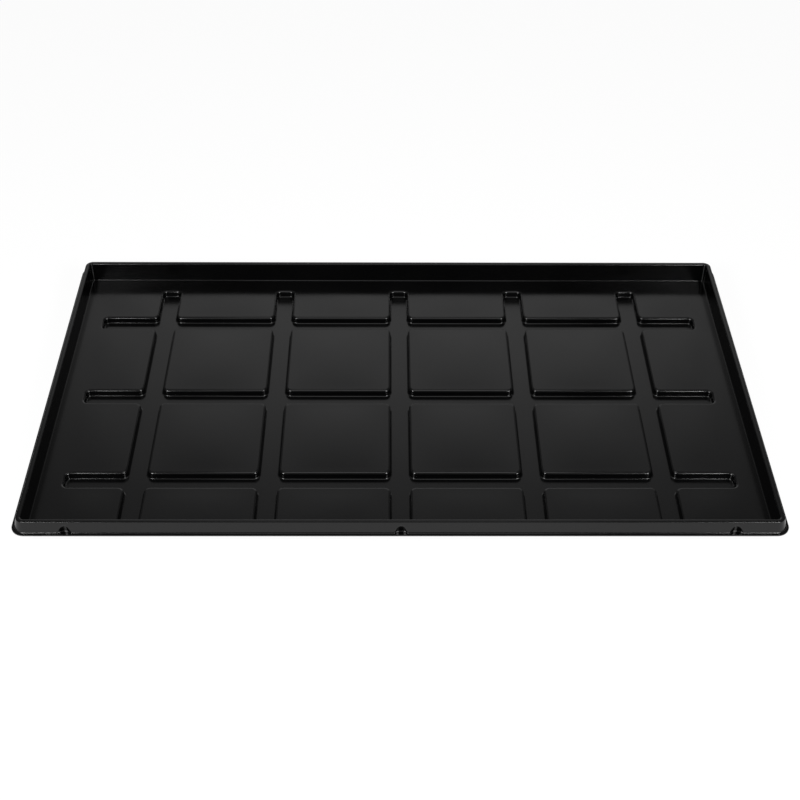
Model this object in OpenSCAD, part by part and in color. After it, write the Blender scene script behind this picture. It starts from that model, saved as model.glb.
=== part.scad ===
// Rectangular drip tray for pots, formed from one black plastic sheet, divided into its moulded sections.
// X runs along the tray, Y to the back and Z up. The origin is the middle of the footprint, on the ground.

/* [Tray] */
// Length over the lip
tray_w = 1000; // [920:5:1300]
// Depth over the lip, front to back
tray_d = 606; // [560:2:800]
// Height from the ground to the rim's top
tray_h = 41.5; // [38:0.5:60]
// Thickness of the sheet
sheet_t = 2; // [1:0.1:2.6]

/* [Edge] */
// Width of the trim lip outside the skirt's foot
lip_w = 3.7; // [2:0.1:8]
// Drop from the rim's top to the lip's top
skirt_h = 16; // [12:0.5:22]
// How far the skirt slopes outwards on its way down
skirt_run = 3.5; // [2.5:0.1:6]
// Width of the flat rim
rim_w = 6; // [5.5:0.1:12]
// How far the inner wall leans inwards on its way down
wall_run = 2; // [0.5:0.1:5]
// Plan radius of the tray's corners at the wall's foot
foot_corner_r = 2.8; // [1:0.1:20]

/* [Channels] */
// Number of channels from front to back
long_channels = 5; // [2:1:5]
// Number of crosswise channels
cross_channels = 3; // [1:1:3]
// Distance between channel centre lines, both ways
pitch = 178; // [130:1:190]
// Width of a channel's flat floor
channel_w = 25; // [14:1:40]
// Depth of the channels below the pads
channel_depth = 9.5; // [6:0.5:16]
// How far a channel's side leans back on its way up
riser_run = 1.2; // [0.5:0.1:5]
// Plan radius of the pads' corners
pad_corner_r = 8; // [4:0.5:20]
// Flat margin from a side wall's foot to the cross channels' ends
side_margin = 33; // [20:0.5:50]
// Flat margin from the back wall's foot to the long channels' ends
back_margin = 30.5; // [15:0.5:45]
// Flat margin from the front wall's foot to the long channels' ends
front_margin = 20; // [10:1:45]
// How far the channel pattern's middle lies behind the tray's middle
pattern_y = -5; // [-12:0.5:12]

/* [Dents] */
// Distance from the tray's end to the centre of an end dent
dent_end = 70; // [45:1:200]
// Plan radius of a dent at the lip
dent_foot_r = 11.5; // [7:0.5:14]
// Plan radius of a dent's cone at the rim's underside
dent_top_r = 10.4; // [4:0.1:12]
// How far a dent goes into the skirt at the lip
dent_depth = 4; // [3:0.5:5.5]

/* [Hidden] */
$fn = 64;
sheet_black = [0.09, 0.09, 0.1];

// Channels are made whole, so a pattern is laid out from the number of whole channels
long_count = floor(long_channels);
cross_count = floor(cross_channels);

// Levels: tops of the channel floor, the pads, the lip and the rim
floor_z = sheet_t;
pad_z = floor_z + channel_depth;
rim_z = tray_h;
lip_z = rim_z - skirt_h;
rim_under_z = rim_z - sheet_t;

// Distances in from the lip's outer edge
rim_out = lip_w + skirt_run;
rim_in = rim_out + rim_w;
foot_in = rim_in + wall_run;
lip_corner_r = foot_corner_r + foot_in;

// Half sizes of the floor inside the walls' feet
foot_x = tray_w / 2 - foot_in;
foot_y = tray_d / 2 - foot_in;

// Ends of the channels at pad level, and the lines where the margins meet the pads
cross_end = foot_x - side_margin;
long_back = foot_y - back_margin;
long_front = front_margin - foot_y;
split_x = cross_end + sheet_t;
split_back = long_back + sheet_t;
split_front = long_front - sheet_t;

// Slope of the channel sides, and how far pads start from a channel's centre line
riser_slope = riser_run / channel_depth;
pad_edge = channel_w / 2 + riser_run;
// How far cuts run past the faces that they open
over = 1;

// Half width of a channel's floor plate, the radius of a pad's foot seen from behind, and where crossings end
arm = channel_w / 2 + sheet_t;
turn_r = pad_corner_r + riser_run - sheet_t;
reach = arm + turn_r;
// How far the floor plate runs past a channel's end at pad level
end_grow = sheet_t - riser_run;

SIDES = ["front", "right", "back", "left"];
CORNERS = ["front_left", "front_right", "back_right", "back_left"];
EDGE_KINDS = ["margin", "wall", "rim", "skirt", "lip"];

function pad_name(row, col) = str("pad_r", row + 1, "c", col + 1);
function long_x(i) = (i - (long_count - 1) / 2) * pitch;
function cross_y(j) = pattern_y + (j - (cross_count - 1) / 2) * pitch;

// Distance in from the lip's edge of the skirt's outer face and of the wall's inner face, at height z
function skirt_at(z) = lip_w + skirt_run * (z - lip_z) / skirt_h;
function wall_at(z) = rim_in + wall_run * (rim_z - z) / (rim_z - pad_z);

// Half width added to a channel by its sloping sides, at height z
function lean(z) = riser_slope * (z - floor_z);

// Radius of a dent's cone at height z
function dent_r(z) = dent_foot_r + (dent_top_r - dent_foot_r) * (z - lip_z) / (rim_under_z - lip_z);

// Side 0 is the front. Each side is drawn as the front is, then turned.
function side_half(side) = (side % 2 == 0 ? tray_d : tray_w) / 2;
function side_run(side) = (side % 2 == 0 ? tray_w : tray_d) - 2 * lip_corner_r;
function dent_places(side) = side % 2 == 0 ? [for (s = [-1, 0, 1]) s * (tray_w / 2 - dent_end)] : [];

// Angle at which the quarter turn towards a corner starts, from the signs of the corner's place
function quarter(sx, sy) = sy > 0 ? (sx > 0 ? 0 : 90) : (sx > 0 ? 270 : 180);

module on_side(side) rotate([0, 0, 90 * side]) translate([0, -side_half(side), 0]) children();

// Carries a section, drawn as distance in from the lip's edge and height, along a straight line
module carry(length) translate([-length / 2, 0, 0]) rotate([90, 0, 90]) linear_extrude(length) children();

module block(low, high) translate(low) cube(high - low);

// The whole edge from the lip to the wall's foot, as one section of even thickness
edge_section = [
  [0, lip_z], [lip_w, lip_z], [rim_out, rim_z], [rim_in, rim_z], [foot_in, pad_z],
  [foot_in - sheet_t, pad_z], [wall_at(rim_under_z) - sheet_t, rim_under_z],
  [skirt_at(rim_under_z) + sheet_t, rim_under_z], [lip_w + sheet_t, lip_z],
  [lip_w + sheet_t, lip_z - sheet_t], [0, lip_z - sheet_t]
];

module wall(side)
  color(sheet_black) on_side(side) carry(side_run(side)) polygon([
    [wall_at(rim_under_z) - sheet_t, rim_under_z], [wall_at(rim_under_z), rim_under_z],
    [foot_in, pad_z], [foot_in - sheet_t, pad_z]
  ]);

module rim(side)
  color(sheet_black) on_side(side) carry(side_run(side)) polygon([
    [skirt_at(rim_under_z), rim_under_z], [rim_out, rim_z],
    [rim_in, rim_z], [wall_at(rim_under_z), rim_under_z]
  ]);

// A dent is an upright cone that cuts into the skirt from outside and closes below the rim
module dent_cone(grow, low, high)
  translate([0, lip_w + dent_depth - dent_foot_r, low])
    cylinder(h = high - low, r1 = dent_r(low) + grow, r2 = dent_r(high) + grow);

// The space inside the skirt's outer face, where the back of a dent may stand
module behind_skirt() {
  deep = lip_w + dent_depth + dent_foot_r;
  carry(4 * dent_foot_r) polygon([
    [lip_w, lip_z], [deep, lip_z], [deep, rim_under_z], [skirt_at(rim_under_z), rim_under_z]
  ]);
}

module skirt(side)
  color(sheet_black) on_side(side) difference() {
    union() {
      carry(side_run(side)) polygon([
        [lip_w, lip_z], [lip_w + sheet_t, lip_z],
        [skirt_at(rim_under_z) + sheet_t, rim_under_z], [skirt_at(rim_under_z), rim_under_z]
      ]);
      for (x = dent_places(side)) translate([x, 0, 0]) intersection() {
        dent_cone(sheet_t, lip_z, rim_under_z);
        behind_skirt();
      }
    }
    for (x = dent_places(side)) translate([x, 0, 0]) dent_cone(0, lip_z - over, rim_under_z + over);
  }

// The lip runs straight along its trimmed edge and closes each dent's foot
module lip(side)
  color(sheet_black) on_side(side) {
    low = lip_z - sheet_t;
    run = side_run(side);
    block([-run / 2, 0, low], [run / 2, lip_w + sheet_t, lip_z]);
    for (x = dent_places(side)) translate([x, 0, 0]) intersection() {
      translate([0, lip_w + dent_depth - dent_foot_r, low]) cylinder(h = sheet_t, r = dent_foot_r + sheet_t);
      block([-2 * dent_foot_r, lip_w, low], [2 * dent_foot_r, 2 * dent_foot_r + lip_w, lip_z]);
    }
  }

// Corner 0 is at the front left, and the others follow anticlockwise from above
module corner(i) {
  toward_x = i == 0 || i == 3 ? -1 : 1;
  toward_y = i < 2 ? -1 : 1;
  color(sheet_black)
    translate([toward_x * (tray_w / 2 - lip_corner_r), toward_y * (tray_d / 2 - lip_corner_r), 0])
      rotate([0, 0, quarter(toward_x, toward_y)]) rotate_extrude(angle = 90)
        polygon([for (p = edge_section) [lip_corner_r - p[0], p[1]]]);
}

// Section of the sheet at a channel's end, from the end of the flat floor up to the margin
end_section = [
  [0, floor_z], [sheet_t, floor_z], [sheet_t + lean(pad_z - sheet_t), pad_z - sheet_t],
  [riser_run + sheet_t, pad_z - sheet_t], [riser_run + sheet_t, pad_z], [riser_run, pad_z]
];

// The riser that closes a channel running along +Y, drawn from the end of its flat floor
module channel_end()
  color(sheet_black) intersection() {
    carry(2 * pad_edge) polygon(end_section);
    translate([0, riser_run + sheet_t, 0]) rotate([90, 0, 0]) linear_extrude(riser_run + sheet_t) polygon([
      [-channel_w / 2, floor_z], [channel_w / 2, floor_z], [pad_edge, pad_z], [-pad_edge, pad_z]
    ]);
  }

module long_channel_ends()
  for (i = [0:long_count - 1]) translate([long_x(i), 0, 0]) {
    translate([0, long_back - riser_run, 0]) channel_end();
    translate([0, long_front + riser_run, 0]) rotate([0, 0, 180]) channel_end();
  }

module cross_channel_ends()
  for (j = [0:cross_count - 1], s = [-1, 1])
    translate([s * (cross_end - riser_run), cross_y(j), 0]) rotate([0, 0, -90 * s]) channel_end();

// Flat strip between the wall and the channel ends. The front and back strips run into the tray's corners.
module margin(side)
  color(sheet_black) {
    low = pad_z - sheet_t;
    out_x = foot_x + sheet_t;
    out_y = foot_y + sheet_t;
    r = foot_corner_r + sheet_t;
    toward = side == 0 ? -1 : 1;
    inner = side == 0 ? split_front : split_back;
    if (side % 2 == 0) {
      long_low = min(toward * out_y, inner);
      long_high = max(toward * out_y, inner);
      end_low = min(toward * (out_y - r), inner);
      end_high = max(toward * (out_y - r), inner);
      block([r - out_x, long_low, low], [out_x - r, long_high, pad_z]);
      block([-out_x, end_low, low], [r - out_x, end_high, pad_z]);
      block([out_x - r, end_low, low], [out_x, end_high, pad_z]);
      for (s = [-1, 1]) translate([s * (out_x - r), toward * (out_y - r), low])
        rotate([0, 0, quarter(s, toward)]) rotate_extrude(angle = 90) square([r, sheet_t]);
    } else {
      near = side == 1 ? split_x : -out_x;
      far = side == 1 ? out_x : -split_x;
      block([near, split_front, low], [far, split_back, pad_z]);
    }
  }

// Section across a pad's edge, out from the centre of its corner radius: flat top, then the riser
pad_section = [
  [0, pad_z], [pad_corner_r, pad_z], [pad_corner_r + riser_run, floor_z],
  [pad_corner_r + riser_run - sheet_t, floor_z],
  [pad_corner_r + riser_slope * sheet_t - sheet_t, pad_z - sheet_t], [0, pad_z - sheet_t]
];

// The space under a margin, out from the backs of the channel ends. It trims the risers of the border pads.
module under_margin(side) {
  floor_end = (side == 0 ? -long_front : side == 2 ? long_back : cross_end) - riser_run;
  low = floor_z - over;
  high = pad_z - sheet_t;
  near = floor_end + sheet_t;
  far = near + riser_run + over;
  rotate([0, 0, 90 * (side - 2)]) carry(tray_w + tray_d) polygon([
    [near + lean(low), low], [far, low], [far, high], [near + lean(high), high]
  ]);
}

// A pad is a flat top with a riser on each side that meets a channel. Its other sides join a margin.
module pad(row, col)
  color(sheet_black) difference() {
    pad_sheet(row, col);
    if (row == 0) under_margin(0);
    if (col == long_count) under_margin(1);
    if (row == cross_count) under_margin(2);
    if (col == 0) under_margin(3);
  }

module pad_sheet(row, col) {
  left_open = col == 0;
  right_open = col == long_count;
  front_open = row == 0;
  back_open = row == cross_count;
  inset = pad_edge + pad_corner_r;
  x0 = left_open ? -split_x : long_x(col - 1) + inset;
  x1 = right_open ? split_x : long_x(col) - inset;
  y0 = front_open ? split_front : cross_y(row - 1) + inset;
  y1 = back_open ? split_back : cross_y(row) - inset;
  open = [front_open, right_open, back_open, left_open];
  starts = [[x0, y0, 0], [x1, y0, 0], [x1, y1, 0], [x0, y1, 0]];
  runs = [x1 - x0, y1 - y0, x1 - x0, y1 - y0];
  block([x0, y0, pad_z - sheet_t], [x1, y1, pad_z]);
  for (side = [0:3]) translate(starts[side]) rotate([0, 0, 90 * side]) {
    if (!open[side])
      mirror([0, 1, 0]) rotate([90, 0, 90]) linear_extrude(runs[side]) polygon(pad_section);
    if (!open[side] && !open[(side + 3) % 4])
      rotate([0, 0, 180]) rotate_extrude(angle = 90) polygon(pad_section);
  }
}

// Where a channel's floor plate starts and stops between crossings, in pairs
function stops(from, to, crossings) =
  concat([from - end_grow], [for (c = crossings, s = [-1, 1]) c + s * reach], [to + end_grow]);

// Floor of a front-to-back channel, in the lengths between crossings
module long_channel(i) {
  at = stops(long_front, long_back, [for (j = [0:cross_count - 1]) cross_y(j)]);
  color(sheet_black) translate([long_x(i), 0, 0])
    for (n = [0:2:len(at) - 2]) block([-arm, at[n], 0], [arm, at[n + 1], sheet_t]);
}

// Floor of a crosswise channel, in the lengths between crossings
module cross_channel(j) {
  at = stops(-cross_end, cross_end, [for (i = [0:long_count - 1]) long_x(i)]);
  color(sheet_black) translate([0, cross_y(j), 0])
    for (n = [0:2:len(at) - 2]) block([at[n], -arm, 0], [at[n + 1], arm, sheet_t]);
}

// The floor where channels cross. It follows the rounded feet of the four pads.
module channel_crossings()
  color(sheet_black) for (i = [0:long_count - 1], j = [0:cross_count - 1])
    translate([long_x(i), cross_y(j), 0]) difference() {
      block([-reach, -reach, 0], [reach, reach, sheet_t]);
      for (sx = [-1, 1], sy = [-1, 1]) translate([sx * reach, sy * reach, -over])
        cylinder(h = sheet_t + 2 * over, r = turn_r);
    }

for (i = [0:long_count - 1]) long_channel(i);
for (j = [0:cross_count - 1]) cross_channel(j);
channel_crossings();
long_channel_ends();
cross_channel_ends();
for (row = [0:cross_count], col = [0:long_count])
  pad(row, col);
for (side = [0:3]) {
  margin(side);
  wall(side);
  rim(side);
  skirt(side);
  lip(side);
}
for (i = [0:3]) corner(i);
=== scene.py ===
# %% [markdown]
# # A plant saucer formed from one sheet
# The real tray is a sheet of black plastic, heated until it sags and drawn by vacuum down over a mould.
# So every form on it is a bend in the same sheet: nothing is glued or fastened on, and no edge is sharp
# except the lip, where the sheet was cut from its frame. The CAD solids give the sizes with sharp bends.
# This script gives each bend its radius and the sheet its finish.

import bpy
import numpy as np
from mathutils import Matrix, Vector
from mathutils.geometry import delaunay_2d_cdt


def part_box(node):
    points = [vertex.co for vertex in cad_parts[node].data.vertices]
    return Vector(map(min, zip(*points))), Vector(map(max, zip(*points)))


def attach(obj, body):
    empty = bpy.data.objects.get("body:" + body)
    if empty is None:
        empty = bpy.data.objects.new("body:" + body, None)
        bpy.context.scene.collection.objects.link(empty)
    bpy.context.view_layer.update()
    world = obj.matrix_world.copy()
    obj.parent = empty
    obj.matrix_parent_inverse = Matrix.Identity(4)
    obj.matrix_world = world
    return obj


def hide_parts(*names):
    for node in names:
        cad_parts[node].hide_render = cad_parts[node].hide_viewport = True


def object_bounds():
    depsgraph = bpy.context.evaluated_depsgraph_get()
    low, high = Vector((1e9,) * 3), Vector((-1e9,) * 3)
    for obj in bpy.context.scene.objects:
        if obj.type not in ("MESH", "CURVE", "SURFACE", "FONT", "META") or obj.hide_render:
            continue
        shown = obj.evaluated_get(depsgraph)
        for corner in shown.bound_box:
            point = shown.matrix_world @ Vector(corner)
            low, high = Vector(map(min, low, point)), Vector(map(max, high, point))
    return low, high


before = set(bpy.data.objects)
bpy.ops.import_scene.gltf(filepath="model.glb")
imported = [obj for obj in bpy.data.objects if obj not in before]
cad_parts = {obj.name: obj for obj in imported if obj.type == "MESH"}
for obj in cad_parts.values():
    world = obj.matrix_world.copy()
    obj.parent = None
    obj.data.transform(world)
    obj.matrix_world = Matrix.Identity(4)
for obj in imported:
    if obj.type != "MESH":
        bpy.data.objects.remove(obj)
cad_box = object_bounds()
print("CAD box", [tuple(round(v, 4) for v in corner) for corner in cad_box])

# %% [markdown]
# ## Read the sizes
# Most sizes are in the boxes of the CAD nodes, so a change to the solids carries over to the looks.
# The slopes of the rim and of the channel sides, and the channels' corner radii, are not in any box, so they
# are named here, in metres.

# %% Sizes of the sheet
MM = 0.001


def span(node, axis):
    """Lowest and highest value of a CAD node along one axis."""
    low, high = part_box(node)
    return low[axis], high[axis]


half_x, half_y, rim_z = cad_box[1]
lip_under, lip_z = span("front_lip", 2)
sheet_t = lip_z - lip_under
lip_w = half_x - span("right_lip", 0)[0] - sheet_t
foot_in = half_x - span("right_wall", 0)[0]
lip_corner_r = half_x - span("front_lip", 0)[1]
rim_out = 7.2 * MM
rim_in = 13.2 * MM
pad_z = span("front_margin", 2)[1]
pad_under = pad_z - sheet_t
floor_z = span("long_channel_1", 2)[1]
print("in mm: sheet", round(sheet_t / MM, 2), "lip", round(lip_w / MM, 2), "pads at", round(pad_z / MM, 2))

# %% Layout of the channels
long_x = [sum(span(f"long_channel_{i}", 0)) / 2 for i in range(1, 6)]
cross_y = [sum(span(f"cross_channel_{j}", 1)) / 2 for j in range(1, 4)]
channel_half = np.ptp(span("long_channel_1", 0)) / 2 - sheet_t
riser_run = 1.2 * MM
end_front, end_back = np.array(span("long_channel_ends", 1)) + np.array([1, -1]) * (sheet_t + riser_run)
end_x = span("cross_channel_ends", 0)[1] - sheet_t - riser_run
pad_foot_r = 9.2 * MM
end_foot_r = 5.5 * MM
print("channels", round(channel_half * 2 / MM, 1), "mm wide, ends at", round(end_x, 4), round(end_back, 4))

# %% [markdown]
# ## Bends
# A formed sheet bends in arcs. One function rounds the corners of any outline or section. It also gives the
# direction to the right of travel, which is what a section needs to be carried along an outline.

# %% Rounded polylines
ARC_STEPS = 8


def rounded(corners, radii, closed=False, steps=ARC_STEPS):
    """Points of a polyline with its corners rounded to arcs, and the unit normals to the right of travel.

    An arc touches both sides of its corner. Its centre lies on the line that halves the corner, at the
    radius divided by the sine of half the corner's angle, and its points turn evenly between the sides.
    """
    corners = np.asarray(corners, float)
    at = corners if closed else corners[1:-1]
    before = np.roll(corners, 1, 0) if closed else corners[:-2]
    after = np.roll(corners, -1, 0) if closed else corners[2:]
    radii = np.broadcast_to(np.asarray(radii, float), len(at))[:, None]
    back = (before - at) / np.linalg.norm(before - at, axis=1, keepdims=True)
    ahead = (after - at) / np.linalg.norm(after - at, axis=1, keepdims=True)
    half = np.arccos(np.clip((back * ahead).sum(1), -1, 1))[:, None] / 2
    middle = (back + ahead) / np.linalg.norm(back + ahead, axis=1, keepdims=True)
    centre = at + middle * radii / np.sin(half)
    start = at + back * radii / np.tan(half) - centre
    end = at + ahead * radii / np.tan(half) - centre
    turn = (np.pi - 2 * half)[:, :, None]
    t = np.linspace(0, 1, steps + 1)[None, :, None]
    arm = (np.sin((1 - t) * turn) * start[:, None] + np.sin(t * turn) * end[:, None]) / np.sin(turn)
    left = np.sign(ahead[:, 1] * -back[:, 0] + ahead[:, 0] * back[:, 1])
    points = (centre[:, None] + arm).reshape(-1, 2)
    normals = (arm / radii[:, :, None] * left[:, None, None]).reshape(-1, 2)
    if closed:
        return points, normals
    points = np.vstack([corners[:1], points, corners[-1:]])
    return points, np.vstack([normals[:1], normals, normals[-1:]])


def refined(points, normals, step):
    """The same closed outline with points added, so that none of its runs is longer than the step."""
    ring, turn = np.vstack([points, points[:1]]), np.vstack([normals, normals[:1]])
    parts = np.ceil(np.linalg.norm(np.diff(ring, axis=0), axis=1) / step).astype(int)
    at = np.repeat(np.arange(len(points)), parts)
    share = (np.arange(len(at)) - (np.cumsum(parts) - parts)[at])[:, None] / parts[at][:, None]
    return ring[at] * (1 - share) + ring[at + 1] * share, turn[at] * (1 - share) + turn[at + 1] * share


# %% [markdown]
# ## Meshes from grids and flats
# Every piece is made of two kinds of surface. A grid is a section carried along a path. A flat fills the
# ground between outlines, with holes where other outlines lie inside it, and with points of its own where
# it is crowned.

# %% Faces of grids and flats
def grid_faces(rows, columns, first=0, wrap=False):
    """Quads between the points of a grid stored row by row. Wrapping joins the last column to the first."""
    index = first + np.arange(rows * columns).reshape(rows, columns)
    if wrap:
        index = np.hstack([index, index[:, :1]])
    quads = np.stack([index[:-1, :-1], index[:-1, 1:], index[1:, 1:], index[1:, :-1]], -1)
    return quads.reshape(-1, 4).tolist()


def turns_left(loop):
    """Whether a closed level outline is travelled anticlockwise, by the sign of its area."""
    after = np.roll(loop, -1, 0)
    return (loop[:, 0] * after[:, 1] - loop[:, 1] * after[:, 0]).sum() > 0


def flat_faces(points, loops, up, inner=()):
    """Triangles over the ground inside the first loop and outside the others, through the inner points."""
    loops = [loop if turns_left(points[loop]) else loop[::-1] for loop in loops]
    order = np.concatenate([*loops, inner]).astype(int)
    ends = np.cumsum([0] + [len(loop) for loop in loops])
    rings = [list(range(a, b)) for a, b in zip(ends, ends[1:])]
    level = [Vector(place) for place in points[order, :2]]
    _, _, faces, sources, _, owners = delaunay_2d_cdt(level, [], rings, 0, 1e-7)
    ground = [face for face, owner in zip(faces, owners) if owner == [0]]
    triangles = order[np.array(sources)[:, 0][np.array(ground)]]
    return (triangles if up else triangles[:, ::-1]).tolist()


SHARP_BEND = np.radians(40)
formed = []


def make_piece(name, points, faces, nodes):
    """Makes one smooth mesh in place of the named CAD nodes. Sharp bends between faces stay sharp."""
    mesh = bpy.data.meshes.new(name)
    mesh.from_pydata(np.asarray(points, float).reshape(-1, 3), [], faces)
    mesh.polygons.foreach_set("use_smooth", np.ones(len(mesh.polygons), bool))
    mesh.set_sharp_from_angle(angle=SHARP_BEND)
    mesh.validate()
    piece = bpy.data.objects.new(name, mesh)
    bpy.context.scene.collection.objects.link(piece)
    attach(piece, "root")
    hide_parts(*nodes)
    formed.append(piece)


# %% [markdown]
# ## Channels and pads
# The pads stand up from the lattice of channels, so that pots stay clear of the water. The sides of a mould
# lean, or the sheet could not be lifted off it. One section serves every channel edge: level pad, bend,
# leaning riser, bend, level floor, and then the same on the underside, one sheet thickness away.

# %% Section across a channel edge
TOP_BEND = 3.6 * MM
FOOT_BEND = 1.7 * MM
FLAT_STRIP = 0.4 * MM
riser_slope = riser_run / (pad_z - floor_z)


def riser_at(z):
    """Distance of the riser's upper face from the edge of the channel floor, at height z."""
    return riser_slope * (z - floor_z)


def level_reach(bend):
    """How far a bend of that radius, with a flat strip after it, runs on to the level sheet."""
    return bend * np.tan(np.arctan2(1, riser_slope) / 2) + FLAT_STRIP


floor_join = -level_reach(FOOT_BEND)
pad_join = riser_run + level_reach(TOP_BEND)
top_side, _ = rounded(
    [[pad_join, pad_z], [riser_run, pad_z], [0, floor_z], [floor_join, floor_z]], [TOP_BEND, FOOT_BEND]
)
low_side, _ = rounded(
    [
        [floor_join, floor_z - sheet_t],
        [riser_at(floor_z - sheet_t) + sheet_t, floor_z - sheet_t],
        [riser_at(pad_under) + sheet_t, pad_under],
        [pad_join + sheet_t, pad_under],
    ],
    [FOOT_BEND + sheet_t / 2, TOP_BEND / 2],
)
channel_section = np.vstack([top_side, low_side])
print("channel section of", len(channel_section), "points")


def carried_level(outline, normals, section):
    """Grid of a section of distances and heights, set out along the normals of a level outline."""
    level = outline[None] + normals[None] * section[:, None, :1]
    height = np.broadcast_to(section[:, None, 1:], (*level.shape[:2], 1))
    return np.concatenate([level, height], 2)


# %% [markdown]
# The pads are not quite flat. A formed sheet shrinks as it cools and stays a little proud in the middle of
# each panel, which is why a pad mirrors a brighter part of the room at its back than at its front. The
# crown is the product of two parabolas, so it falls to nothing along all four edges of a pad.

# %% Crown of the pads
CROWN_TILT = np.radians(1.0)
around_channel = np.array([-1, 1]) * (channel_half + pad_join)
past_end = np.array([-1, 1]) * pad_join
inside_wall = np.array([-1, 1]) * (half_y - foot_in)
outer_ends = [-end_x, end_x] + past_end
x_edges = np.sort(np.concatenate([np.add.outer(long_x, around_channel).ravel(), outer_ends]))
y_edges = np.sort(np.concatenate([np.add.outer(cross_y, around_channel).ravel(), inside_wall]))


def parabola(place, edges):
    """One less the square of the share of the way from a pad's middle to its edge, and half its width.

    The edges come in pairs: a pad lies between the first two, then a channel, a pad, and so on. Off the
    pads it is zero.
    """
    pair = np.clip(np.searchsorted(edges, place) - 1, 0, len(edges) - 2)
    half = (edges[pair + 1] - edges[pair]) / 2
    share = (place - edges[pair]) / half - 1
    return np.where((pair % 2 == 0) & (np.abs(share) < 1), 1 - share**2, 0), half


def crown(x, y):
    """Height of the pads over their edges, by the crown's tilt at the middle of a pad's longer edges."""
    (across, half_across), (along, half_along) = parabola(x, x_edges), parabola(y, y_edges)
    return CROWN_TILT / 2 * np.minimum(half_across, half_along) * across * along


def crowned_points(x, y):
    """Points of the crowned ground at level places."""
    return np.column_stack([x, y, pad_z + crown(x, y)])


pad_middle = crown(np.mean(long_x[1:3], keepdims=True), np.mean(cross_y[:2], keepdims=True))
print("a free pad is proud by", round(pad_middle[0] / MM, 2), "mm")

# %% [markdown]
# Eight pads stand free between four channels each. In the mould such a pad is a block with rounded corners.
# Here the channel section runs round the block's foot, and a crowned flat closes its top.

# %% Island pads
STEP = 10 * MM


def island_outline(column, row):
    """Foot of the pad between four channels, travelled with the channels on the left."""
    left, right = long_x[column] + channel_half, long_x[column + 1] - channel_half
    front, back = cross_y[row] + channel_half, cross_y[row + 1] - channel_half
    return rounded([[left, front], [left, back], [right, back], [right, front]], pad_foot_r, closed=True)


islands = []
for row in range(2):
    for column in range(4):
        outline, normals = refined(*island_outline(column, row), STEP)
        grid = carried_level(outline, normals, channel_section)
        rows, around = grid.shape[:2]
        low, high = grid[0, :, :2].min(0), grid[0, :, :2].max(0)
        inner = np.linspace(low, high, int(np.ptp(x_edges[2:4]) / STEP))[1:-1]
        x, y = np.meshgrid(inner[:, 0], inner[:, 1])
        points = np.vstack([grid.reshape(-1, 3), crowned_points(x.ravel(), y.ravel())])
        ring = np.arange(around)
        faces = grid_faces(rows, around, wrap=True)
        faces += flat_faces(points, [ring], up=True, inner=np.arange(rows * around, len(points)))
        faces += flat_faces(points, [ring + (rows - 1) * around], up=False)
        name = f"pad_r{row + 2}c{column + 2}"
        make_piece(f"formed_{name}", points, faces, [name])
        islands.append((outline, normals))
print(len(islands), "island pads of", len(points), "points each")

# %% [markdown]
# ## Border
# Around the lattice the sheet stays at pad level. The half pads, the margins and the closed channel ends
# are one land, so the same section runs once around the outside of the whole lattice, in and out of every
# channel end.

# %% Outline around the lattice
def lattice_outline():
    """Outer foot line of the lattice, anticlockwise. Channel ends turn left, corners of half pads right."""
    w = channel_half
    corners = []
    for x in long_x:
        y = cross_y[0] - w
        corners += [[x - w, y], [x - w, end_front], [x + w, end_front], [x + w, y]]
    for y, after in zip(cross_y, cross_y[1:] + [None]):
        corners += [[end_x, y - w], [end_x, y + w]]
        if after is not None:
            corners += [[long_x[-1] + w, y + w], [long_x[-1] + w, after - w]]
    for x in long_x[::-1]:
        y = cross_y[-1] + w
        corners += [[x + w, y], [x + w, end_back], [x - w, end_back], [x - w, y]]
    for y, after in zip(cross_y[::-1], cross_y[-2::-1] + [None]):
        corners += [[-end_x, y + w], [-end_x, y - w]]
        if after is not None:
            corners += [[long_x[0] - w, y - w], [long_x[0] - w, after + w]]
    corners = np.array(corners)
    into, out = corners - np.roll(corners, 1, 0), np.roll(corners, -1, 0) - corners
    at_end = into[:, 0] * out[:, 1] - into[:, 1] * out[:, 0] > 0
    return rounded(corners, np.where(at_end, end_foot_r, pad_foot_r), closed=True)


lattice, lattice_normals = refined(*lattice_outline(), STEP)
print("lattice outline of", len(lattice), "points")

# %% Joint with the wall
WALL_BEND = 1.5 * MM
edge_join = foot_in + WALL_BEND
join_corner_r = lip_corner_r - edge_join
join_x, join_y = half_x - edge_join, half_y - edge_join
join_corners = [[-join_x, -join_y], [join_x, -join_y], [join_x, join_y], [-join_x, join_y]]
join_loop, _ = refined(*rounded(join_corners, join_corner_r, closed=True), STEP)
print("joint with the wall of", len(join_loop), "points")


# %% Crowned places on the border
def on_border(x, y):
    """Which places are on the border and half a step clear of the channels."""
    clear = STEP / 2
    in_frame = (x < long_x[0]) | (x > long_x[-1]) | (y < cross_y[0]) | (y > cross_y[-1])
    past = channel_half + pad_join + clear
    in_long = (np.abs(x[:, None] - long_x).min(1) < past) & (y > end_front - pad_join - clear)
    in_long &= y < end_back + pad_join + clear
    in_cross = (np.abs(y[:, None] - cross_y).min(1) < past) & (np.abs(x) < end_x + pad_join + clear)
    return in_frame & ~in_long & ~in_cross


x_places = np.linspace(-join_x, join_x, int(2 * join_x / STEP))[1:-1]
y_places = np.linspace(-join_y, join_y, int(2 * join_y / STEP))[1:-1]
x, y = (axis.ravel() for axis in np.meshgrid(x_places, y_places))
inside = on_border(x, y)
crowned_border = crowned_points(x[inside], y[inside])
print(len(crowned_border), "places on the border")

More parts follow.
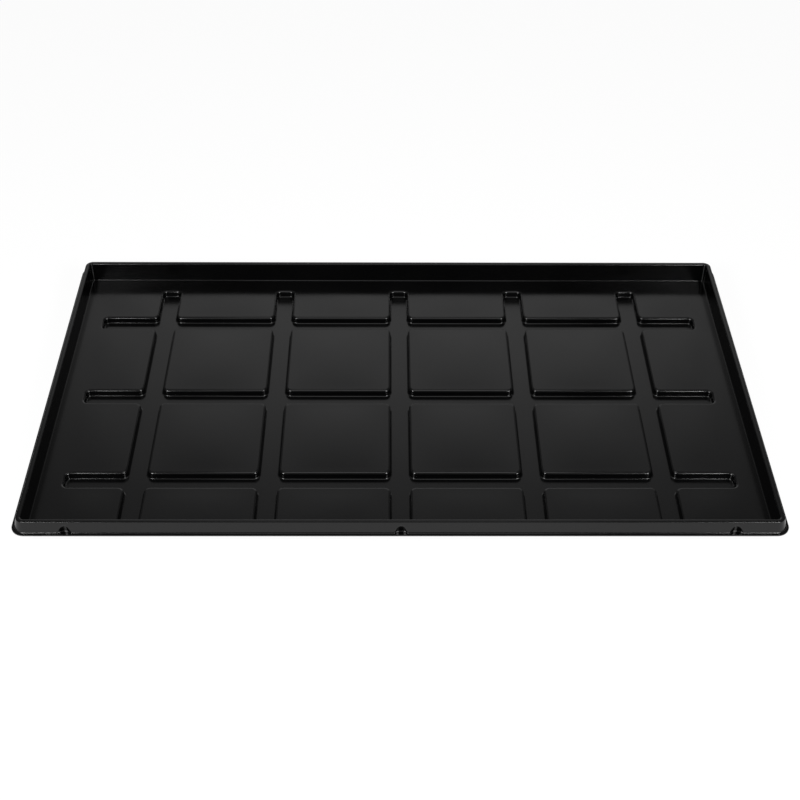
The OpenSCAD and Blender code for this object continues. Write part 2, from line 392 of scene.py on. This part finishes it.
# %% Border piece
grid = carried_level(lattice, lattice_normals, channel_section)
rows, around = grid.shape[:2]
rim_count = len(join_loop)
points = np.vstack([
    grid.reshape(-1, 3),
    np.column_stack([join_loop, np.full(rim_count, pad_under)]),
    np.column_stack([join_loop, np.full(rim_count, pad_z)]),
    crowned_border,
])
ring = np.arange(around)
lower = rows * around + np.arange(rim_count)
upper = lower + rim_count
inner = np.arange(rows * around + 2 * rim_count, len(points))
faces = grid_faces(rows, around, wrap=True)
faces += flat_faces(points, [upper, ring], up=True, inner=inner)
faces += flat_faces(points, [lower, ring + (rows - 1) * around], up=False)
faces += grid_faces(2, rim_count, first=rows * around, wrap=True)
half_pads = [f"pad_r{r}c{c}" for r in range(1, 5) for c in range(1, 7) if r in (1, 4) or c in (1, 6)]
sides = ["front", "right", "back", "left"]
margins = [f"{side}_margin" for side in sides]
channel_ends = ["long_channel_ends", "cross_channel_ends"]
make_piece("formed_border", points, faces, half_pads + margins + channel_ends)
print("border of", len(points), "points round", len(lattice), "outline points")

# %% [markdown]
# ## Channel floor
# What is left is the level floor of the lattice: one flat with a hole for each island pad. The tray stands
# on its underside.

# %% Channel floor piece
outer = lattice + lattice_normals * floor_join
loops = [outer] + [outline + normals * floor_join for outline, normals in islands]
sizes = [len(loop) for loop in loops]
starts = np.cumsum([0] + sizes)
level = np.vstack(loops)
points = np.vstack([
    np.column_stack([level, np.full(len(level), floor_z)]),
    np.column_stack([level, np.full(len(level), floor_z - sheet_t)]),
])
rings = [start + np.arange(size) for start, size in zip(starts, sizes)]
faces = flat_faces(points, rings, up=True)
faces += flat_faces(points, [ring + len(level) for ring in rings], up=False)
for ring in rings:
    after = np.roll(ring, -1)
    faces += np.stack([ring, ring + len(level), after + len(level), after], 1).tolist()
channels = [f"long_channel_{i}" for i in range(1, 6)] + [f"cross_channel_{j}" for j in range(1, 4)]
make_piece("formed_channel_floor", points, faces, channels + ["channel_crossings"])
print("channel floor with", len(islands), "holes and", len(faces), "faces")

# %% [markdown]
# ## Wall, rim and skirt
# At the edge the sheet goes up a wall, over a narrow rim, down a skirt, and ends in a cut lip. The fold
# makes the edge of so thin a tray stiff. It is one section all round, given as distance in from the lip and
# height.

# %% Section of the edge
RIM_IN_BEND = 2.0 * MM
RIM_OUT_BEND = 1.0 * MM
LIP_BEND = 1.9 * MM
CUT_BEND = 0.35 * MM


def skirt_at(z):
    """Distance in from the lip's edge of the skirt's outer face, at height z."""
    return lip_w + (rim_out - lip_w) * (z - lip_z) / (rim_z - lip_z)


def wall_at(z):
    """Distance in from the lip's edge of the wall's inner face, at height z."""
    return rim_in + (foot_in - rim_in) * (rim_z - z) / (rim_z - pad_z)


rim_under = rim_z - sheet_t
# Each corner has its distance in, its height, its bend, and how far it follows a dent of the skirt. On the
# underside a bend is tighter below a crest and wider below a hollow, as in a sheet of even thickness.
edge_corners = np.array([
    [foot_in, pad_z, WALL_BEND, 0],
    [rim_in, rim_z, RIM_IN_BEND, 0],
    [rim_out, rim_z, RIM_OUT_BEND, 1],
    [lip_w, lip_z, LIP_BEND, 1],
    [0, lip_z, CUT_BEND, 0],
    [0, lip_under, CUT_BEND, 0],
    [skirt_at(lip_under) + sheet_t, lip_under, LIP_BEND + sheet_t / 2, 1],
    [skirt_at(rim_under) + sheet_t, rim_under, RIM_OUT_BEND / 3, 1],
    [wall_at(rim_under) - sheet_t, rim_under, RIM_IN_BEND / 3, 0],
    [wall_at(pad_under) - sheet_t, pad_under, WALL_BEND + sheet_t / 2, 0],
])
edge_ends = np.array([[edge_join, pad_z], [edge_join, pad_under]])
edge_line = np.vstack([edge_ends[:1], edge_corners[:, :2], edge_ends[1:]])
edge_section, _ = rounded(edge_line, edge_corners[:, 2])
follows = np.concatenate([[0], np.repeat(edge_corners[:, 3], ARC_STEPS + 1), [0]])
print("edge section of", len(edge_section), "points")

# %% [markdown]
# The skirt is a straight line of the section. It gets points on the way, on its outer and its inner face,
# so that a dent keeps its shape between the rim and the lip.

# %% Points along the skirt
SKIRT_STEPS = 18
CORNERS_BEFORE_OUTER_FACE = 3
CORNERS_BEFORE_INNER_FACE = 7
shares = np.arange(1, SKIRT_STEPS)[:, None] / SKIRT_STEPS
# The inner face goes first, so that the outer face's place in the section still holds.
for corners_before in (CORNERS_BEFORE_INNER_FACE, CORNERS_BEFORE_OUTER_FACE):
    last = corners_before * (ARC_STEPS + 1)
    between = edge_section[last] * (1 - shares) + edge_section[last + 1] * shares
    edge_section = np.insert(edge_section, last + 1, between, axis=0)
    follows = np.insert(follows, last + 1, np.ones(SKIRT_STEPS - 1))
print("edge section of", len(edge_section), "points with those on the skirt")

# %% [markdown]
# ## Dents
# The front and back skirts have three dents each. In the mould they are upright ribs that stand against the
# skirt, and they stiffen the lip. A dent's face leans out towards its top, so the dent runs out below the
# rim. Where a dent is deeper than the skirt, the skirt follows it, with a soft bend between the two.

# %% Depth of the dents
DENT_END = 70 * MM
DENT_DEPTH = 4 * MM
DENT_LEAN = 1.9 * MM
DENT_FOOT_R = 11.5 * MM
DENT_TOP_R = 10.8 * MM
DENT_BEND = 0.5 * MM
dent_places = np.array([DENT_END - half_x, 0, half_x - DENT_END])


def dent_push(along, z):
    """How far the skirt is pushed in, at places along it and heights.

    A dent is a leaning cone that stands just outside the lip. Its depth past the skirt is the cone's face
    less the skirt's face. A parabola joins that depth to zero over the width of the bend.
    """
    share = (np.maximum(z, lip_z) - lip_z) / (rim_z - lip_z)
    radius = DENT_FOOT_R + (DENT_TOP_R - DENT_FOOT_R) * share
    deepest = lip_w + DENT_DEPTH - DENT_LEAN * share
    offset = np.abs(along[:, None] - dent_places[None]).min(1)[:, None]
    face = deepest - radius + np.sqrt(np.maximum(radius**2 - offset**2, 0))
    depth = face - skirt_at(np.maximum(z, lip_z))
    soft = (depth + DENT_BEND) ** 2 / (4 * DENT_BEND)
    return np.where(depth > DENT_BEND, depth, np.where(depth > -DENT_BEND, soft, 0))


foot_push = dent_push(dent_places, np.full((1, 1), lip_z))
print(len(dent_places), "dents on a long side,", round(foot_push.max() / MM, 2), "mm deep at the lip")

# %% [markdown]
# ## Sides and corners
# A side is the section carried along a straight line, so only the dents need points along it. A corner is
# the same section turned about the corner's centre, with a short straight length at both ends, so that its
# bend begins and ends inside the piece and no seam shows.

# %% Carry the section along a path
def carried_edge(path, inward, push=0):
    """Points of the edge section set in from a level path, with the dents' push added to that distance."""
    reach = edge_section[None, :, 0] + follows[None] * push
    level = path[:, None] + inward[:, None] * reach[:, :, None]
    height = np.broadcast_to(edge_section[None, :, 1:], (*level.shape[:2], 1))
    return np.concatenate([level, height], 2)


def edge_piece(name, path, inward, nodes, push=0):
    """Makes a closed length of the edge: the carried section, its joint face, and a face at each end."""
    points = carried_edge(path, inward, push)
    rows, columns = points.shape[:2]
    faces = grid_faces(rows, columns, wrap=True)
    first = np.arange(columns).tolist()
    faces += [first[::-1], [(rows - 1) * columns + k for k in first]]
    make_piece(name, points, faces, nodes)


def quarter_turns(k):
    """Matrix that turns level directions anticlockwise by k quarter turns."""
    return np.linalg.matrix_power(np.array([[0, -1], [1, 0]]), k)


# %% Sides
CORNER_RUN = 6 * MM
SIDE_PLACES = 41
DENT_SHARES = np.linspace(-1.2, 1.2, 49)
for k, side in enumerate(sides):
    half_run, out = (half_x, half_y) if k % 2 == 0 else (half_y, half_x)
    end = half_run - lip_corner_r - CORNER_RUN
    along = np.linspace(-end, end, SIDE_PLACES)
    if k % 2 == 0:
        close = DENT_SHARES * DENT_FOOT_R
        along = np.unique(np.concatenate([along, (dent_places[:, None] + close[None]).ravel()]))
    turn = quarter_turns(k)
    path = np.column_stack([along, np.full(len(along), -out)]) @ turn.T
    inward = np.broadcast_to(turn @ [0, 1], path.shape)
    push = dent_push(along, edge_section[None, :, 1]) if k % 2 == 0 else 0
    nodes = [f"{side}_{part}" for part in ("wall", "rim", "skirt", "lip")]
    edge_piece(f"formed_{side}_edge", path, inward, nodes, push)
    print(side, "edge with", len(along), "places along it")

# %% Corners
corners = ["front_right", "back_right", "back_left", "front_left"]
for k, corner in enumerate(corners):
    half_run, out = (half_x, half_y) if k % 2 == 0 else (half_y, half_x)
    near = lip_corner_r + CORNER_RUN
    bend = [[half_run - near, -out], [half_run, -out], [half_run, near - out]]
    path, outward = rounded(bend, [lip_corner_r], steps=3 * ARC_STEPS)
    turn = quarter_turns(k)
    edge_piece(f"formed_{corner}_corner", path @ turn.T, -outward @ turn.T, [f"{corner}_corner"])
print(len(formed), "pieces in all")

# %% [markdown]
# ## Satin black sheet
# The plastic is black all through. Its skin is satin: it took a faint grain from the mould and the air
# side, with slightly shinier and duller patches where the sheet stretched more or less, and hair-fine scuffs
# from stacking.

# %% Material
def sheet_material():
    """Near-black plastic whose roughness, tone and bump come from noises in Object coordinates."""
    material = bpy.data.materials.new("satin_black_sheet")
    material.use_nodes = True
    nodes, links = material.node_tree.nodes, material.node_tree.links
    shader = nodes["Principled BSDF"]
    shader.inputs["IOR"].default_value = 1.5
    place = nodes.new("ShaderNodeTexCoord").outputs["Object"]

    def noise(scale, detail, stretch=None):
        source = place
        if stretch:
            mapping = nodes.new("ShaderNodeMapping")
            mapping.inputs["Scale"].default_value = stretch
            links.new(place, mapping.inputs["Vector"])
            source = mapping.outputs["Vector"]
        node = nodes.new("ShaderNodeTexNoise")
        node.inputs["Scale"].default_value = scale
        node.inputs["Detail"].default_value = detail
        links.new(source, node.inputs["Vector"])
        return node.outputs["Fac"]

    def ranged(value, low, high, to_low, to_high):
        node = nodes.new("ShaderNodeMapRange")
        ends = {"From Min": low, "From Max": high, "To Min": to_low, "To Max": to_high}
        for socket, number in ends.items():
            node.inputs[socket].default_value = number
        links.new(value, node.inputs["Value"])
        return node.outputs["Result"]

    def total(a, b):
        node = nodes.new("ShaderNodeMath")
        links.new(a, node.inputs[0])
        links.new(b, node.inputs[1])
        return node.outputs["Value"]

    patches = noise(9, 3)
    scuffs = noise(1, 4, stretch=(14, 420, 14))
    grain = noise(1800, 2)
    tone = nodes.new("ShaderNodeMix")
    tone.data_type = "RGBA"
    tone.inputs["A"].default_value = (0.0006, 0.0006, 0.0007, 1)
    tone.inputs["B"].default_value = (0.0012, 0.0012, 0.0013, 1)
    links.new(patches, tone.inputs["Factor"])
    links.new(tone.outputs["Result"], shader.inputs["Base Color"])
    rough = total(ranged(patches, 0.3, 0.7, 0.16, 0.20), ranged(scuffs, 0.66, 0.8, 0, 0.06))
    links.new(rough, shader.inputs["Roughness"])
    bump = nodes.new("ShaderNodeBump")
    bump.inputs["Strength"].default_value = 0.08
    bump.inputs["Distance"].default_value = 0.05 * MM
    links.new(grain, bump.inputs["Height"])
    links.new(bump.outputs["Normal"], shader.inputs["Normal"])
    return material


satin_black = sheet_material()
for piece in formed:
    piece.data.materials.append(satin_black)
print("material on", len(formed), "pieces")

# %% [markdown]
# ## Studio
# The photograph has a white sweep under and behind the tray, brightest behind its middle, a soft light
# overhead and a smaller, stronger one on either side of the camera. Black plastic shows little but these
# reflections.

# %% Floor
def floor_material():
    """Pale floor, white to the camera and in reflections, that keeps some of the tray's shadow."""
    material = bpy.data.materials.new("studio_floor")
    material.use_nodes = True
    nodes, links = material.node_tree.nodes, material.node_tree.links
    nodes.remove(nodes["Principled BSDF"])
    seen = nodes.new("ShaderNodeLightPath").outputs
    direct = nodes.new("ShaderNodeMath")
    direct.operation = "MAXIMUM"
    links.new(seen["Is Camera Ray"], direct.inputs[0])
    links.new(seen["Is Glossy Ray"], direct.inputs[1])
    either = nodes.new("ShaderNodeMath")
    either.operation = "MAXIMUM"
    links.new(direct.outputs["Value"], either.inputs[0])
    links.new(seen["Is Transmission Ray"], either.inputs[1])
    paper = nodes.new("ShaderNodeBsdfDiffuse")
    paper.inputs["Color"].default_value = (0.8, 0.8, 0.8, 1)
    shade = nodes.new("ShaderNodeBsdfDiffuse")
    shade.inputs["Color"].default_value = (0.12, 0.12, 0.12, 1)
    white = nodes.new("ShaderNodeEmission")
    strength = nodes.new("ShaderNodeMapRange")
    strength.inputs["To Min"].default_value = 0.72
    strength.inputs["To Max"].default_value = 0.92
    links.new(seen["Is Camera Ray"], strength.inputs["Value"])
    links.new(strength.outputs["Result"], white.inputs["Strength"])
    both = nodes.new("ShaderNodeAddShader")
    links.new(shade.outputs["BSDF"], both.inputs[0])
    links.new(white.outputs["Emission"], both.inputs[1])
    mix = nodes.new("ShaderNodeMixShader")
    links.new(either.outputs["Value"], mix.inputs["Fac"])
    links.new(paper.outputs["BSDF"], mix.inputs[1])
    links.new(both.outputs["Shader"], mix.inputs[2])
    links.new(mix.outputs["Shader"], nodes["Material Output"].inputs["Surface"])
    return material


FLOOR_HALF = 30
floor_signs = [(-1, -1), (1, -1), (1, 1), (-1, 1)]
floor_corners = [(across * FLOOR_HALF, along * FLOOR_HALF, 0) for across, along in floor_signs]
floor_mesh = bpy.data.meshes.new("studio_floor")
floor_mesh.from_pydata(floor_corners, [], [(0, 1, 2, 3)])
floor_mesh.materials.append(floor_material())
floor = bpy.data.objects.new("studio_floor", floor_mesh)
bpy.context.scene.collection.objects.link(floor)
print("floor", 2 * FLOOR_HALF, "m wide")


# %% Lamps
def soft_lamp(name, place, size, watts):
    """A square lamp at a place in metres that faces the middle of the tray and is hidden from the camera."""
    data = bpy.data.lights.new(name, "AREA")
    data.size = size
    data.energy = watts
    lamp = bpy.data.objects.new(name, data)
    facing = (-Vector(place)).to_track_quat("-Z", "Y").to_matrix().to_4x4()
    lamp.matrix_world = Matrix.Translation(place) @ facing
    lamp.visible_camera = False
    bpy.context.scene.collection.objects.link(lamp)
    print("lamp", name, "of", size, "m")


soft_lamp("overhead", (0, -0.1, 0.95), size=0.7, watts=1.4)
soft_lamp("left_front", (-1.24, -1.55, 1.36), size=0.72, watts=31)
soft_lamp("right_front", (1.24, -1.55, 1.36), size=0.72, watts=31)

# %% [markdown]
# Behind the tray hangs a white backdrop. A pool of light falls on it, its low part is a bright sweep, and
# the rest of the room is dim, with a paler ceiling. The flats mirror the pool and the rear bends mirror the
# sweep. The side bends mirror the dim room, which draws a dark line beside each pad.

# %% Backdrop
POOL_SIDE = 0.015
POOL_WIDTH = 0.33
POOL_HEIGHT = 0.72
POOL_FADE = 0.175
POOL_STRENGTH = 0.55
SWEEP_WIDTH = 0.65
SWEEP_HEIGHT = 0.45
SWEEP_STRENGTH = 0.65
CEILING_SPREAD = 0.22
CEILING_STRENGTH = 0.15
ROOM_STRENGTH = 0.1


def studio_world():
    """World with a lit backdrop behind the tray, a paler ceiling and an even, dim room.

    A direction meets the backdrop at a place across and a height, both in distances to the backdrop. Each
    light fades as e to the power of minus a sum of powers of shares. The pool and the sweep take the fourth
    power of the share of their width. The sweep takes the fourth power of the share of its height, and the
    pool the square of the rise above its height. The brighter of the two counts. The ceiling takes the
    square of how far a direction is from straight up. The camera sees the world as white.
    """
    world = bpy.data.worlds.new("studio")
    bpy.context.scene.world = world
    world.use_nodes = True
    nodes, links = world.node_tree.nodes, world.node_tree.links

    def math(operation, a, b=None):
        node = nodes.new("ShaderNodeMath")
        node.operation = operation
        for socket, value in zip(node.inputs, (a, b)):
            if isinstance(value, (int, float)):
                socket.default_value = value
            elif value is not None:
                links.new(value, socket)
        return node.outputs["Value"]

    direction = nodes.new("ShaderNodeSeparateXYZ")
    links.new(nodes.new("ShaderNodeTexCoord").outputs["Generated"], direction.inputs["Vector"])
    x, y, z = (direction.outputs[axis] for axis in "XYZ")
    ahead = math("MAXIMUM", y, 0.001)
    across = math("ABSOLUTE", math("SUBTRACT", math("DIVIDE", x, ahead), POOL_SIDE))
    height = math("DIVIDE", math("MAXIMUM", z, 0.0), ahead)

    def power(value, size, exponent):
        return math("POWER", math("DIVIDE", value, size), exponent)

    def faded(distance, brightness):
        return math("MULTIPLY", math("EXPONENT", math("MULTIPLY", distance, -1.0)), brightness)

    above = math("MAXIMUM", math("SUBTRACT", height, POOL_HEIGHT), 0.0)
    pool_share = math("ADD", power(across, POOL_WIDTH, 4.0), power(above, POOL_FADE, 2.0))
    pool = faded(pool_share, POOL_STRENGTH)
    sweep_share = math("ADD", power(across, SWEEP_WIDTH, 4.0), power(height, SWEEP_HEIGHT, 4.0))
    sweep = faded(sweep_share, SWEEP_STRENGTH)
    ceiling = faded(power(math("SUBTRACT", 1.0, z), CEILING_SPREAD, 2.0), CEILING_STRENGTH)
    strength = math("ADD", math("ADD", math("MAXIMUM", pool, sweep), ceiling), ROOM_STRENGTH)
    to_camera = nodes.new("ShaderNodeLightPath").outputs["Is Camera Ray"]
    links.new(math("MAXIMUM", strength, to_camera), nodes["Background"].inputs["Strength"])
    nodes["Background"].inputs["Color"].default_value = (1, 1, 1, 1)


studio_world()
print("backdrop pool", POOL_STRENGTH, "sweep", SWEEP_STRENGTH, "room", ROOM_STRENGTH)

# %% [markdown]
# ## Camera
# The view was fitted to the photograph's lip, walls and channels. The camera stands in front of the tray, a
# little left of its middle, and looks down at it.

# %% Camera at the photograph's view
CAMERA_PLACE = np.array([-17.98, -1662.1, 1357.35]) * MM
PITCH, YAW, ROLL = np.radians([39.21, 0.64, -0.45])
FOCAL_PIXELS, IMAGE_PIXELS, SENSOR = 1483.46, 800, 36

ahead = np.array([np.sin(YAW) * np.cos(PITCH), np.cos(YAW) * np.cos(PITCH), -np.sin(PITCH)])
level_right = np.array([np.cos(YAW), -np.sin(YAW), 0])
down = np.cross(ahead, level_right)
image_right = level_right * np.cos(ROLL) + down * np.sin(ROLL)
image_down = down * np.cos(ROLL) - level_right * np.sin(ROLL)
camera_data = bpy.data.cameras.new("photo_view")
camera_data.sensor_width = SENSOR
camera_data.lens = FOCAL_PIXELS / IMAGE_PIXELS * SENSOR
camera = bpy.data.objects.new("photo_view", camera_data)
turned = Matrix(np.column_stack([image_right, -image_down, -ahead]).tolist()).to_4x4()
camera.matrix_world = Matrix.Translation(CAMERA_PLACE.tolist()) @ turned
bpy.context.scene.collection.objects.link(camera)
bpy.context.scene.camera = camera
bpy.context.scene.view_settings.view_transform = "Standard"
print("lens", round(camera_data.lens, 2), "mm")
